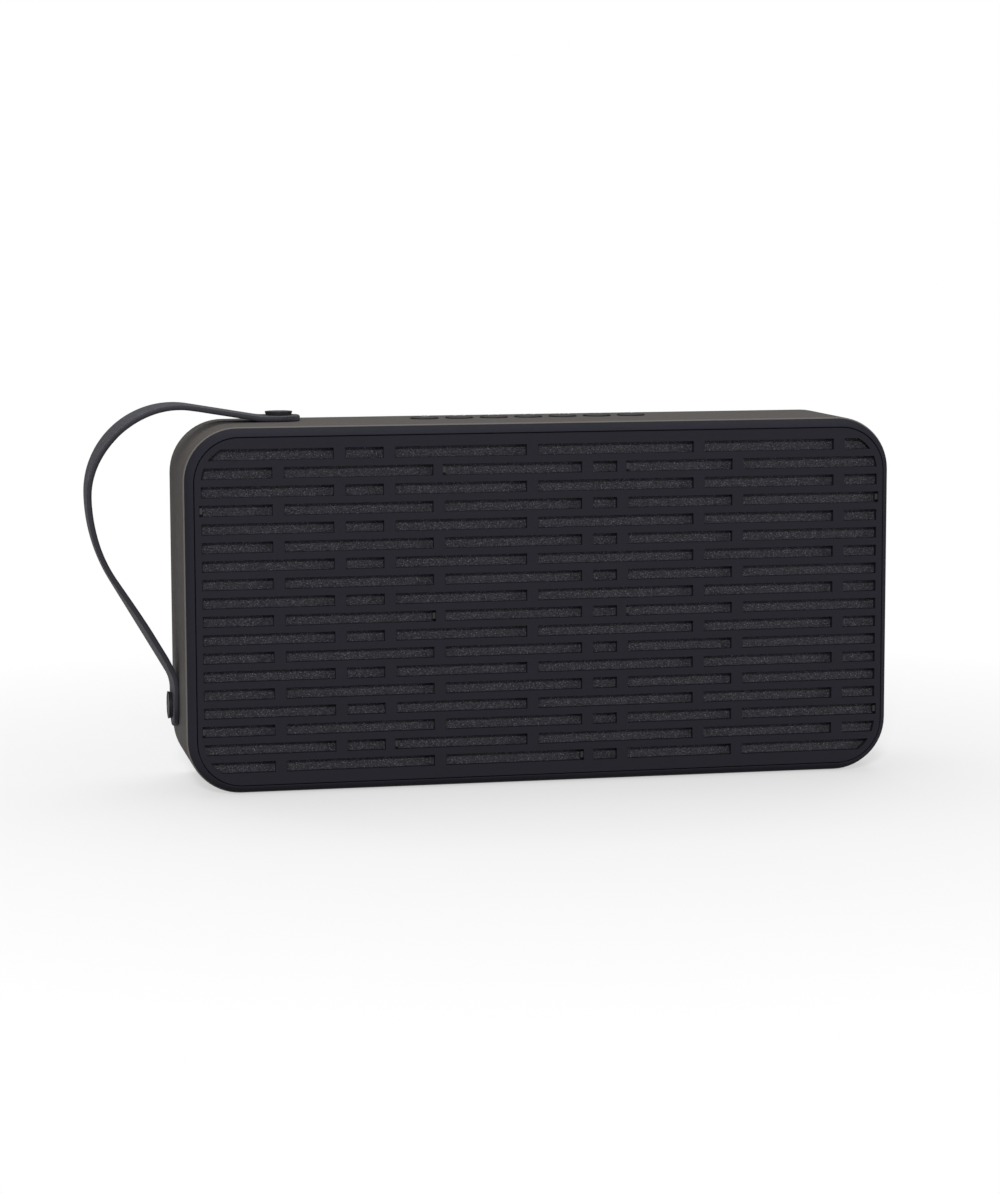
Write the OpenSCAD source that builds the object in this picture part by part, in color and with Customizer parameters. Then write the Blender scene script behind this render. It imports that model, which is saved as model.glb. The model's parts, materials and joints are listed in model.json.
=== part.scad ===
// Portable shower speaker with a carry strap: a flat rounded casing, a slotted front grille over cloth,
// seven top buttons, and the drivers, battery and boards inside.
// Millimetres, +Z up, front facing -Y. The origin is on the resting plane, under the middle of the casing.

/* [Casing] */
// Width of the casing
case_w = 228; // [215:1:260]
// Height of the casing, without its foot strip
case_h = 114.8; // [112:0.2:140]
// Radius of the casing's four corners
corner_r = 17; // [16:0.5:24]
// Thickness of the casing wall
wall = 2.4; // [2:0.1:2.8]
// Depth of the straight part of the casing, between the two rounded rims
shell_d = 42; // [40:0.5:60]
// Depth of the curved front rim
front_rim_d = 4.5; // [4:0.1:5.5]
// Depth of the curved rear rim
rear_rim_d = 3.5; // [3:0.1:4.5]
// How far each rim comes in from the casing's outline
rim_w = 2.8; // [2.4:0.1:3.2]

/* [Grille] */
// Thickness of the grille panel
panel_t = 2; // [1.6:0.1:2.1]
// Gap all round the grille panel
panel_gap = 0.25; // [0.2:0.05:0.6]
// Number of slot rows
row_count = 18; // [10:2:18]
// Height of one slot
slot_h = 3.5; // [2.5:0.1:4]
// Distance from one row to the next
row_pitch = 5.75; // [5.2:0.01:5.85]
// Width of the bars between neighbouring slots
bar_w = 3.6; // [2.5:0.1:4.5]
// Centres of the bars in the first, third and other odd rows
bars_a = [-65.7, -50.0, -4.4, 49.8, 96.2];
// Centres of the bars in the second, fourth and other even rows
bars_b = [-84.9, -34.3, 13.4, 24.8, 62.6];

/* [Buttons] */
// Diameter of a button
button_dia = 9; // [8:0.1:9.4]
// Distance between button centres
button_pitch = 11.4; // [11:0.1:12]
// X of the middle button
button_mid_x = 1; // [-2:0.1:3]
// How far a button stands above the casing
button_proud = 0.9; // [0.7:0.1:1.4]
// How far a button travels
button_travel = 0.5; // [0.3:0.05:0.5]

/* [Strap] */
// Width of the strap
strap_w = 13.6; // [11:0.1:15]
// Thickness of the strap
strap_t = 1.9; // [1.5:0.1:2.4]
// X of the top stud
top_stud_x = -80.4; // [-84:0.1:-78]
// Height of the side stud above the casing's bottom
side_stud_h = 24.5; // [22:0.1:28]
// Radius of the loop over the casing's corner
loop_r = 27.5; // [25:0.1:29]
// Radius of the long curve down the outside of the loop
sweep_r = 55; // [45:1:60]
// Slope of the strap where it leaves the top
rise_angle = 9.8; // [8:0.1:12]
// Slope of the strap where it returns to the side
return_angle = 30.2; // [29:0.1:32]
// Depth, behind the middle of the casing, of the line that the buttons and the strap follow
control_y = 6.5; // [3:0.1:7]

/* [Drivers] */
// Distance of each driver from the middle
driver_x = 70; // [69:0.5:71]
// Outer radius of a driver's flange
driver_r = 28; // [27:0.5:28]

/* [Rear] */
// X of the port bay
bay_x = 74; // [70:0.5:78]
// Height of the port bay above the casing's bottom
bay_h = 39.5; // [37:0.5:44]
// Width of the port bay
bay_w = 36; // [34:0.5:38]
// Height of the opening that the port cover fills
bay_open_h = 13; // [12:0.5:14]

/* [Hidden] */
$fn = 48;
// Running clearance between pieces that only lie against each other
play = 0.05;
// Clearance round pieces that fit into one another
fit = 0.15;
// How far joined shapes reach into one another, and how far a cut runs past a surface
merge = 0.2;
past = 1;
hair = 0.01;
pad_proud = 0.5;
foot_w = 160;
foot_d = 12;
foot_corner_r = 5;
foot_sunk = 0.6;
foot_slack = 0.1;
case_z = pad_proud + case_h / 2;
case_top = pad_proud + case_h;
side_x = case_w / 2;
inner_top = case_top - wall;

// Depths, from the front to the back
shell_front = -(shell_d + front_rim_d + rear_rim_d) / 2 + front_rim_d;
shell_back = shell_front + shell_d;
front_y = shell_front - front_rim_d;
rear_y = shell_back + rear_rim_d;
parting = 0.1;
// Chamfer along the casing's edges, and a finer one along the grille's
edge = 0.4;
fine_edge = 0.15;
// How much the face of each rim swells, and the width of the lip behind the grille
rim_bulge = 0.5;
lip_w = 1.5;
spigot_d = 2;
cloth_space = 0.6;
lip_y = front_y + panel_t + cloth_space;
frame_back = shell_front + spigot_d;
gasket_t = 0.95;
gasket_out = wall + 2 * fit;
gasket_in = wall + 1.6;
seat_in = gasket_in + 2 * fit;
seat_t = 1;
baffle_t = 2.5;
baffle_front = frame_back + gasket_t + play;
baffle_back = baffle_front + baffle_t;
plate_t = 2.6;
plate_inner = rear_y - plate_t;
cover_spigot_d = 2.95;
cover_seat = shell_back - cover_spigot_d;
plate_in = 2 * rim_w;
gasket_seat = cover_seat - gasket_t - 2 * play;

// The slotted panel and the opening it fills
rim_r = corner_r - rim_w;
panel_w = case_w - 2 * rim_w - 2 * panel_gap;
panel_h = case_h - 2 * rim_w - 2 * panel_gap;
panel_r = rim_r - panel_gap;
slot_margin = 2.05;
slot_half = panel_w / 2 - slot_margin;
// The grid of slots sits a little above the middle of the panel
grid_rise = 0.25;
grid_top = ((row_count - 1) * row_pitch + slot_h) / 2 + grid_rise;
// Where the grille's hooks show: [row, X of the slot end, side of the slot the hook is on]
hook_sites = [
    [3, -slot_half, -1], [15, -slot_half, -1], [3, slot_half, 1], [15, slot_half, 1],
    [1, bars_b[1] + bar_w / 2, -1], [1, bars_b[3] + bar_w / 2, -1], [9, bars_b[1] - bar_w / 2, 1],
    [9, bars_b[3] + bar_w / 2, -1], [16, bars_a[1] + bar_w / 2, -1], [17, bars_b[2] - bar_w / 2, 1]
];
notch_w = 0.6;
hook_sunk = 0.4;
cloth_inset = 0.5;
hook_w = 0.9;
hook_h = 1.9;

// Screw pillars that run through the casing, as [x, z] from the casing's middle
pillar_r = 3.5;
pillar_mid_x = 52;
corner_reach = (corner_r - wall - pillar_r + 0.1) / sqrt(2) - corner_r;
pillars = [
    for (sx = [-1, 1], sz = [-1, 1], p = [
        [side_x + corner_reach, case_h / 2 + corner_reach],
        [pillar_mid_x, case_h / 2 - wall - pillar_r + 0.2]
    ]) [sx * p[0], sz * p[1]]
];
screw_r = 1.3;
screw_hole_r = 1.5;
pilot_r = 1.35;
pilot_d = 9;
screw_reach = 7;
sink_r = 2.6;
sunk_head_r = 2.3;
flat_head_r = 2.6;
flat_head_t = 1.6;
counterbore_r = 2.9;
// Depth of the rear screws' seats below the rear seam
rear_seat = cover_seat + 2;

// Buttons and their board
button_hole_r = button_dia / 2 + 0.2;
button_edge = 0.3;
button_crown = 0.12;
flange_r = 5.45;
flange_t = 0.8;
flange_top = inner_top - play;
stem_r = 1.5;
stem_bottom = inner_top - 3.15;
switch_gap = 0.05;
switch_top = stem_bottom - button_travel - switch_gap;
board_t = 1.6;
switch_w = 5.2;
switch_body_h = 1.5;
switch_dome_r = 1.2;
switch_h = 2;
button_board_top = switch_top - switch_h;
button_board_w = 16;
button_board_overhang = 2.6;
button_count = 7;
board_post_x = (button_count - 1) / 2 * button_pitch + 8.6;
post_r = 2.3;
post_bore_r = 0.8;
post_bore_d = 4.5;
seal_half_x = board_post_x - post_r - play;

// Studs and strap
stud_head_r = 4.4;
stud_head_t = 1.1;
stud_shank_r = 1.5;
stud_hole_r = stud_shank_r + 0.1;
stud_dish = 0.15;
stud_rim = 0.6;
nut_r = 3;
nut_t = 2;
side_stud_z = pad_proud + side_stud_h;
strap_top_z = case_top + play + strap_t / 2;
strap_side_x = -(side_x + play + strap_t / 2);
lift_r = 16.5;
settle_r = 12;
stud_gap = 0.3;
lift_x = top_stud_x - stud_head_r - stud_gap;
settle_z = side_stud_z + stud_head_r + stud_gap;
// The two straight runs of the loop are as long as it takes to close it
run_a = strap_side_x - lift_x + lift_r * sin(rise_angle) + loop_r * (1 + sin(rise_angle))
    - (sweep_r + settle_r) * (1 - cos(return_angle));
run_b = settle_z - strap_top_z - lift_r * (1 - cos(rise_angle)) + loop_r * cos(rise_angle)
    + (sweep_r + settle_r) * sin(return_angle);
run_det = cos(rise_angle + return_angle);
upper_run = -(run_a * cos(return_angle) + run_b * sin(return_angle)) / run_det;
lower_run = -(run_b * cos(rise_angle) + run_a * sin(rise_angle)) / run_det;
// Joints between the pieces of the loop, as [x, z]
loop_0 = [lift_x, strap_top_z];
loop_1 = loop_0 + lift_r * [-sin(rise_angle), 1 - cos(rise_angle)];
loop_2 = loop_1 + upper_run * [-cos(rise_angle), sin(rise_angle)];
loop_3 = loop_2 - loop_r * [1 + sin(rise_angle), cos(rise_angle)];
loop_4 = loop_3 + sweep_r * [1 - cos(return_angle), -sin(return_angle)];
loop_5 = loop_4 + lower_run * [sin(return_angle), -cos(return_angle)];
loop_6 = loop_5 + settle_r * [1 - cos(return_angle), -sin(return_angle)];
// The loop sways about the line through both studs. The strap is parted on a cylinder round that line.
sway_tilt = atan2(top_stud_x - strap_side_x, strap_top_z - side_stud_z);
sway_cut_r = 14;
sway_gap = 0.3;

// Drivers
basket_r = 24.4;
basket_y = -4;
driver_screw_at = driver_r - 1.8;
driver_screw_r = 0.8;
cone_r = 19.5;
surround_r = 23.6;
surround_y = baffle_front - 1 - 2 * play;
coil_r = 5.8;
pole_r = 4.8;
gap_r = 6.2;
motor_r = 16.5;
radiator_r = 25.4;
radiator_plate_r = 14.5;
radiator_plate_t = 2;
radiator_mass_r = 10;
radiator_hole_r = 20.6;

// Boards, battery and ports
board_front = 12.4;
board_back = board_front + board_t;
board_boss_r = 2.6;
board_pilot_r = 0.9;
board_x0 = 36.5;
board_x1 = 104;
board_z0 = pad_proud + 29.5;
board_z1 = pad_proud + 87.5;
board_holes = [
    for (x = [board_x0 + 4.5, board_x1 - 4.5], z = [board_z0 + 4, board_z1 - 4]) [x, z]
];
can_r = 4;
can_h = 7.5;
cell_r = 9.15;
cell_len = 65;
cell_y = 11;
cell_z = [pad_proud + 29, pad_proud + 48];
wire_r = 0.6;
wire_end_y = board_front - 0.7;
bay_z = pad_proud + bay_h;
bay_d = 1.6;
bay_r = 1.5;
cover_gap = 0.25;
cover_t = 1.5;
cover_axis_y = rear_y - cover_t / 2;
cover_axis_z = bay_z - bay_open_h / 2 + cover_t / 2 + 0.1;
usb_x = bay_x - 9;
aux_x = bay_x + 8;
led_x = bay_x + bay_w / 2 + 5;
finger_r = 3.5;
usb_w = 9;
usb_h = 3.3;
usb_depth = 6.3;
aux_nose_r = 3;
aux_body_w = 7;
led_r = 1;
aux_bore_r = 1.8;
aux_depth = 14.2;
aux_floor = rear_y - bay_d - play - aux_depth;

// ---------- Shared shapes ----------

// A rounded rectangle, centred
module rounded_rect(w, h, r) {
    square([w - 2 * r, h], center = true);
    square([w, h - 2 * r], center = true);
    for (sx = [-1, 1], sz = [-1, 1])
        translate([sx * (w / 2 - r), sz * (h / 2 - r)])
            circle(r = r);
}

// Stands a flat shape up in the XZ plane and gives it depth from y0 to y1
module upright(y0, y1)
    translate([0, y1, 0])
        rotate([90, 0, 0])
            linear_extrude(y1 - y0)
                children();

// The casing's outline, drawn in by a distance, centred on the casing
module outline(inset)
    translate([0, case_z])
        rounded_rect(case_w - 2 * inset, case_h - 2 * inset, corner_r - inset);

// A flat ring that follows the casing's outline
module outline_ring(inset_out, inset_in, y0, y1)
    upright(y0, y1)
        difference() {
            outline(inset_out);
            outline(inset_in);
        }

// Sweeps a profile round the casing. Its X is the distance from the corner centres, its Y the depth.
module rim_sweep() {
    cx = side_x - corner_r;
    cz = case_h / 2 - corner_r;
    translate([0, 0, case_z])
        for (half = [0, 180])
            rotate([0, half, 0]) {
                translate([cx, 0, -cz])
                    linear_extrude(2 * cz)
                        children();
                translate([cx, 0, cz])
                    rotate([0, -90, 0])
                        linear_extrude(2 * cx)
                            children();
                translate([cx, 0, -cz])
                    rotate([-90, 0, 0])
                        rotate_extrude(angle = 90)
                            children();
                translate([cx, 0, cz])
                    rotate([0, -90, 0])
                        rotate([-90, 0, 0])
                            rotate_extrude(angle = 90)
                                children();
            }
}

// A cylinder along Y from y0 to y1
module rod_y(x, z, r, y0, y1)
    translate([x, y0, z])
        rotate([-90, 0, 0])
            cylinder(r = r, h = y1 - y0);

// A solid of revolution about a line along Y; the profile's Y is the depth
module turned_y(x, z)
    translate([x, 0, z])
        rotate([-90, 0, 0])
            rotate_extrude()
                children();

// A flat block given by two corners
module block(a, b)
    translate(a)
        cube(b - a);

// Points of an arc that bulges from one point to another by a given sagitta
function bulge(a, b, sag, steps = 8) =
    let (
        chord = norm(b - a),
        mid = (a + b) / 2,
        out = [(b - a)[1], -(b - a)[0]] / chord,
        r = (chord * chord / 4 + sag * sag) / (2 * sag),
        centre = mid - (r - sag) * out,
        t0 = atan2(a[1] - centre[1], a[0] - centre[0]),
        t1 = atan2(b[1] - centre[1], b[0] - centre[0]),
        turn = (t1 - t0 + 540) % 360 - 180
    )
    [
        for (i = [0:steps])
            centre + r * [cos(t0 + turn * i / steps), sin(t0 + turn * i / steps)]
    ];

// ---------- Casing ----------

module main_shell() {
    color("dimgray")
        difference() {
            union() {
                shell_wall();
                outline_ring(wall - merge, seat_in, gasket_seat - seat_t, gasket_seat);
                shell_pillars();
                button_board_posts();
            }
            pillar_bores(baffle_back + play, baffle_back + play + pilot_d);
            pillar_bores(gasket_seat - pilot_d, gasket_seat + past);
            button_openings();
            stud_openings();
            foot_prism(-past, pad_proud + foot_sunk, foot_slack);
            post_bores();
        }
}

// The casing wall, with a small chamfer along each outer edge
module shell_wall() {
    y0 = shell_front + parting;
    y1 = shell_back - parting;
    rim_sweep()
        polygon([
            [corner_r - wall, y0], [corner_r - edge, y0], [corner_r, y0 + edge],
            [corner_r, y1 - edge], [corner_r - edge, y1], [corner_r - wall, y1]
        ]);
}

// Screw pillars, each grown into the wall beside it
module shell_pillars()
    for (p = pillars)
        rod_y(p[0], case_z + p[1], pillar_r, baffle_back + play, gasket_seat);

module pillar_bores(y0, y1)
    for (p = pillars)
        rod_y(p[0], case_z + p[1], pilot_r, y0, y1);

module button_openings()
    for (i = [0:button_count - 1])
        translate([button_x(i), control_y, inner_top - past])
            cylinder(r = button_hole_r, h = wall + 2 * past);

function button_x(i) = button_mid_x + (i - (button_count - 1) / 2) * button_pitch;

module button_board_posts()
    for (s = [-1, 1])
        translate([button_mid_x + s * board_post_x, control_y, button_board_top + play])
            cylinder(r = post_r, h = inner_top - button_board_top);

module post_bores()
    for (s = [-1, 1])
        translate([button_mid_x + s * board_post_x, control_y, button_board_top])
            cylinder(r = post_bore_r, h = post_bore_d);

module stud_openings() {
    translate([top_stud_x, control_y, inner_top - past])
        cylinder(r = stud_hole_r, h = wall + 2 * past);
    translate([-side_x - past, control_y, side_stud_z])
        rotate([0, 90, 0])
            cylinder(r = stud_hole_r, h = wall + 2 * past);
}

// The strip's outline, from a depth below the casing up to a height inside its floor
module foot_prism(bottom, top, slack)
    translate([0, 0, bottom])
        linear_extrude(top - bottom)
            rounded_rect(foot_w + 2 * slack, foot_d + 2 * slack, foot_corner_r);

// One soft strip that the casing rests on
module foot_strip()
    color("black")
        foot_prism(0, pad_proud + foot_sunk - play, 0);

module front_frame() {
    outer = [corner_r - edge, shell_front];
    inner = [rim_r + fine_edge, front_y];
    lip_r = rim_r - lip_w;
    color("darkslategray")
        rim_sweep()
            polygon(concat(
                bulge(inner, outer, rim_bulge),
                [
                    [corner_r - wall - fit, shell_front],
                    [corner_r - wall - fit, frame_back],
                    [lip_r, frame_back],
                    [lip_r, lip_y],
                    [rim_r, lip_y],
                    [rim_r, front_y + fine_edge]
                ]
            ));
}

// ---------- Grille ----------

module slot_row(row) {
    bars = row % 2 == 0 ? bars_a : bars_b;
    z1 = grid_top - row * row_pitch;
    difference() {
        translate([-slot_half, z1 - slot_h])
            square([2 * slot_half, slot_h]);
        for (x = bars)
            translate([x - bar_w / 2, z1 - slot_h - past])
                square([bar_w, slot_h + 2 * past]);
    }
}

module slot_field()
    intersection() {
        rounded_rect(2 * slot_half, panel_h - 2 * slot_margin, panel_r - slot_margin);
        for (row = [0:row_count - 1])
            slot_row(row);
    }

function row_z(row) = grid_top - row * row_pitch - slot_h / 2;

module hook_notches()
    for (h = hook_sites)
        translate([h[1] + h[2] * notch_w / 2, row_z(h[0])])
            square([notch_w + 2 * hair, slot_h], center = true);

module grille_panel()
    color("darkslategray") {
        upright(front_y, front_y + panel_t)
            translate([0, case_z])
                difference() {
                    rounded_rect(panel_w - 2 * fine_edge, panel_h - 2 * fine_edge, panel_r - fine_edge);
                    slot_field();
                    hook_notches();
                }
        panel_border();
    }

// The panel's border, chamfered along its front edge
module panel_border() {
    back = front_y + panel_t;
    rim_sweep()
        polygon([
            [panel_r - slot_margin / 2, front_y], [panel_r - fine_edge, front_y],
            [panel_r, front_y + fine_edge], [panel_r, back], [panel_r - slot_margin / 2, back]
        ]);
}

module grille_cloth()
    color("gray")
        upright(front_y + panel_t + play, lip_y - play)
            difference() {
                outline(rim_w + cloth_inset);
                for (h = hook_sites)
                    translate([hook_x(h), case_z + row_z(h[0])])
                        square([hook_w + 2 * fit, hook_h + 2 * fit], center = true);
            }

function hook_x(h) = h[1] + h[2] * (notch_w - hook_w / 2 - 2 * play);

// Tips of the ten arms that hold the grille, standing on the baffle
module grille_hooks()
    color("black")
        for (h = hook_sites)
            upright(front_y + hook_sunk, baffle_front - play)
                translate([hook_x(h), case_z + row_z(h[0])])
                    square([hook_w, hook_h], center = true);

// ---------- Baffle and seals ----------

module front_gasket()
    color("black")
        outline_ring(gasket_out, gasket_in, frame_back + play, baffle_front - play);

module speaker_baffle()
    color("dimgray")
        difference() {
            upright(baffle_front, baffle_back)
                difference() {
                    outline(gasket_out);
                    for (s = [-1, 1])
                        translate([s * driver_x, case_z])
                            circle(r = basket_r + merge);
                    translate([0, case_z])
                        circle(r = radiator_hole_r);
                }
            for (p = pillars) {
                rod_y(p[0], case_z + p[1], screw_hole_r, baffle_front - past, baffle_back + past);
                baffle_sink(p[0], case_z + p[1], sink_r);
            }
            driver_screw_bores();
        }

// Countersink in the front of the baffle
module baffle_sink(x, z, r)
    turned_y(x, z)
        polygon([
            [0, baffle_front - hair], [r, baffle_front - hair], [screw_r + 0.1, baffle_front + r - screw_r],
            [0, baffle_front + r - screw_r]
        ]);

module baffle_screws()
    color("silver")
        for (p = pillars)
            turned_y(p[0], case_z + p[1])
                polygon([
                    [0, baffle_front + 0.1],
                    [sunk_head_r, baffle_front + 0.1],
                    [screw_r, baffle_front + 0.1 + sunk_head_r - screw_r],
                    [screw_r, baffle_back + screw_reach],
                    [0, baffle_back + screw_reach]
                ]);

module rear_gasket()
    color("black")
        outline_ring(gasket_out, gasket_in, gasket_seat + play, cover_seat - play);

// ---------- Rear cover ----------

module rear_cover() {
    outer = [corner_r - edge, shell_back];
    inner = [corner_r - rim_w, rear_y];
    color("dimgray")
        difference() {
            union() {
                rim_sweep()
                    polygon(concat(
                        bulge(outer, inner, rim_bulge),
                        [
                            [corner_r - plate_in, rear_y],
                            [corner_r - plate_in, plate_inner],
                            [corner_r - gasket_in, plate_inner],
                            [corner_r - gasket_in, cover_seat],
                            [corner_r - wall - fit, cover_seat],
                            [corner_r - wall - fit, shell_back]
                        ]
                    ));
                upright(plate_inner, rear_y)
                    outline(plate_in - merge);
                for (p = pillars)
                    rod_y(p[0], case_z + p[1], pillar_r - merge, cover_seat, plate_inner + merge);
                for (h = board_holes)
                    rod_y(h[0], h[1], board_boss_r, board_back + play, plate_inner + merge);
            }
            for (p = pillars) {
                rod_y(p[0], case_z + p[1], screw_hole_r, cover_seat - past, rear_y);
                rod_y(p[0], case_z + p[1], counterbore_r, rear_seat, rear_y + past);
            }
            for (h = board_holes)
                rod_y(h[0], h[1], board_pilot_r, board_back - past, board_back + 6);
            port_bay();
        }
}

// The pocket for the port cover, its finger notch, and the openings of the ports
module port_bay() {
    upright(rear_y - bay_d, rear_y + past)
        translate([bay_x, bay_z]) {
            rounded_rect(bay_w, bay_open_h, bay_r);
            translate([-bay_w / 2, -bay_open_h / 2])
                square([bay_w, bay_open_h / 2]);
        }
    upright(rear_y - bay_d, rear_y + past)
        translate([bay_x, bay_z + bay_open_h / 2])
            circle(r = finger_r);
    upright(plate_inner - past, rear_y)
        translate([usb_x, bay_z])
            rounded_rect(usb_w + 4 * fit, usb_h + 4 * fit, (usb_h + 4 * fit) / 2 - 0.05);
    rod_y(aux_x, bay_z, aux_nose_r + merge, plate_inner - past, rear_y);
    rod_y(led_x, bay_z, led_r + 0.1, plate_inner - past, rear_y + past);
}

module rear_screws()
    color("silver")
        for (p = pillars)
            difference() {
                union() {
                    rod_y(p[0], case_z + p[1], flat_head_r, rear_seat + play, rear_seat + flat_head_t);
                    rod_y(p[0], case_z + p[1], screw_r, gasket_seat - screw_reach, rear_seat + merge);
                }
                for (turn = [0, 90])
                    translate([p[0], 0, case_z + p[1]])
                        rotate([0, turn, 0])
                            block(
                                [-1.5, rear_seat + 0.7, -0.3],
                                [1.5, rear_seat + flat_head_t + past, 0.3]
                            );
            }

// A rubber cover over the ports, rounded along its hinged lower edge
module port_cover()
    color("black") {
        w = bay_w - 2 * cover_gap;
        h = bay_open_h - 2 * cover_gap;
        top = bay_z + bay_open_h / 2 - cover_gap;
        difference() {
            union() {
                block(
                    [bay_x - w / 2, rear_y - cover_t, cover_axis_z],
                    [bay_x + w / 2, rear_y, top]
                );
                translate([bay_x - w / 2, cover_axis_y, cover_axis_z])
                    rotate([0, 90, 0])
                        cylinder(r = cover_t / 2, h = w);
            }
            // Softened upper corners
            for (s = [-1, 1])
                upright(rear_y - cover_t - past, rear_y + past)
                    translate([bay_x + s * w / 2, top])
                        difference() {
                            square(2 * bay_r, center = true);
                            translate([-s * bay_r, -bay_r])
                                circle(r = bay_r);
                        }
        }
    }

// ---------- Drivers ----------

module basket(x) {
    y = baffle_front - play;
    sheet = 1;
    mouth_r = 20.4;
    floor_r = motor_r + 1;
    window_w = 11;
    difference() {
        turned_y(x, case_z)
            polygon([
                [mouth_r, y - sheet], [driver_r, y - sheet], [driver_r, y], [basket_r, y],
                [floor_r, basket_y], [floor_r, basket_y + sheet],
                [gap_r + 1, basket_y + sheet], [gap_r + 1, basket_y],
                [floor_r - 1.3, basket_y], [basket_r - 1.5, y + 0.8], [mouth_r, y]
            ]);
        // Windows in the cone-shaped wall
        for (turn = [30:60:330])
            translate([x, 0, case_z])
                rotate([0, turn, 0])
                    block(
                        [floor_r - 3.5, y + 4, -window_w / 2],
                        [driver_r + 2, basket_y - 2.5, window_w / 2]
                    );
        for (turn = [45:90:315])
            translate([x, 0, case_z])
                rotate([0, turn, 0])
                    rod_y(driver_screw_at, 0, 1, y - sheet - past, y + past);
    }
}

module left_basket() color("slategray") basket(-driver_x);

module right_basket() color("slategray") basket(driver_x);

module magnet(x) {
    y0 = basket_y + 1 + play;
    plate_r = motor_r - 1.5;
    top_plate_t = 2.5;
    ring_t = 6.5;
    ring_in = 8;
    back_plate_t = 3;
    turned_y(x, case_z) {
        translate([gap_r, y0])
            square([plate_r - gap_r, top_plate_t]);
        translate([ring_in, y0 + top_plate_t])
            square([motor_r - ring_in, ring_t]);
        translate([0, y0 + top_plate_t + ring_t])
            square([plate_r, back_plate_t]);
        translate([0, y0 - 0.5])
            square([pole_r, top_plate_t + ring_t + back_plate_t - past]);
    }
}

module left_magnet() color("gray") magnet(-driver_x);

module right_magnet() color("gray") magnet(driver_x);

// Paper cone with its dust cap and voice coil former, in one turned piece
module cone(x) {
    mouth = baffle_front - 1.2;
    neck = mouth + 8;
    cap_r = 8.5;
    cap_rise = 2.2;
    cap_base = neck - 1.9;
    paper_t = 0.6;
    coil_end = basket_y + 3.4;
    turned_y(x, case_z)
        polygon(concat(
            [for (turn = [0:15:90]) [cap_r * sin(turn), cap_base - cap_rise * cos(turn)]],
            [
                [cone_r, mouth - paper_t / 2],
                [cone_r, mouth + paper_t / 2],
                [coil_r, neck + paper_t],
                [coil_r, coil_end],
                [coil_r - paper_t, coil_end],
                [coil_r - paper_t, neck],
                [0, cap_base - cap_rise + 0.8]
            ]
        ));
}

module left_cone() color("black") cone(-driver_x);

module right_cone() color("black") cone(driver_x);

// A half-round rubber roll with a flat foot at each side
module roll_ring(x, r_in, r_out, y) {
    skin = 0.5;
    foot_len = 0.8;
    mid = (r_in + r_out) / 2;
    r = (r_out - r_in) / 2 - skin;
    turned_y(x, case_z) {
        intersection() {
            difference() {
                translate([mid, y])
                    circle(r = r);
                translate([mid, y])
                    circle(r = r - skin);
            }
            translate([r_in, y - r - past])
                square([r_out - r_in, r + past]);
        }
        translate([r_in, y - skin])
            square([foot_len, skin]);
        translate([r_out - foot_len, y - skin])
            square([foot_len, skin]);
    }
}

module surround(x) {
    roll_ring(x, cone_r + play, surround_r, surround_y);
}

module left_surround() color("black") surround(-driver_x);

module right_surround() color("black") surround(driver_x);

// The corrugated ring that centres the voice coil
module spider(x) {
    y = basket_y - 4;
    wave_w = 2.3;
    cloth_t = 0.4;
    turned_y(x, case_z)
        for (i = [0:4]) {
            r = coil_r + 2 * play + i * wave_w;
            translate([r, y + (i % 2) * cloth_t])
                square([wave_w, cloth_t]);
            if (i > 0)
                translate([r - cloth_t / 2, y])
                    square([cloth_t, 2 * cloth_t]);
        }
}

module left_spider() color("khaki") spider(-driver_x);

module right_spider() color("khaki") spider(driver_x);

module driver_screw_sites()
    for (s = [-1, 1], turn = [45:90:315])
        translate([s * driver_x, 0, case_z])
            rotate([0, turn, 0])
                children();

module driver_screw_bores()
    driver_screw_sites()
        rod_y(driver_screw_at, 0, driver_screw_r + play, baffle_front - past, baffle_back + past);

module driver_screws()
    color("silver")
        driver_screw_sites() {
            rod_y(driver_screw_at, 0, 2 * driver_screw_r, baffle_front - 2, baffle_front - 1 - 2 * play);
            rod_y(driver_screw_at, 0, driver_screw_r, baffle_front - 1 - merge, baffle_back - 0.5);
        }

// ---------- Passive radiator ----------

module radiator_frame()
    color("slategray")
        turned_y(0, case_z)
            translate([radiator_hole_r - 2, baffle_front - play - 1])
                square([radiator_r - radiator_hole_r + 2, 1]);

module radiator_plate()
    color("darkgray")
        turned_y(0, case_z) {
            translate([0, baffle_front - radiator_plate_t])
                square([radiator_plate_r, radiator_plate_t]);
            translate([0, baffle_front - merge])
                square([radiator_mass_r, 4]);
        }

module radiator_surround()
    color("black")
        roll_ring(0, radiator_plate_r + play, radiator_hole_r - 0.4, surround_y);

// ---------- Buttons ----------

// One round button: a low dome, a hidden flange and the stem that presses its switch
module button(i)
    translate([button_x(i), control_y, 0])
        rotate_extrude()
            polygon(concat(
                [[0, stem_bottom], [stem_r, stem_bottom], [stem_r, flange_top - flange_t]],
                [[flange_r, flange_top - flange_t], [flange_r, flange_top]],
                [[button_dia / 2, flange_top], [button_dia / 2, case_top + button_proud * 0.3]],
                bulge(
                    [button_dia / 2 - button_edge, case_top + button_proud * 0.6],
                    [0, case_top + button_proud], button_crown
                )
            ));

module power_button() color("dimgray") button(0);

module wireless_button() color("dimgray") button(1);

module previous_button() color("dimgray") button(2);

module play_button() color("dimgray") button(3);

module next_button() color("dimgray") button(4);

module volume_down_button() color("dimgray") button(5);

module volume_up_button() color("dimgray") button(6);

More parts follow.
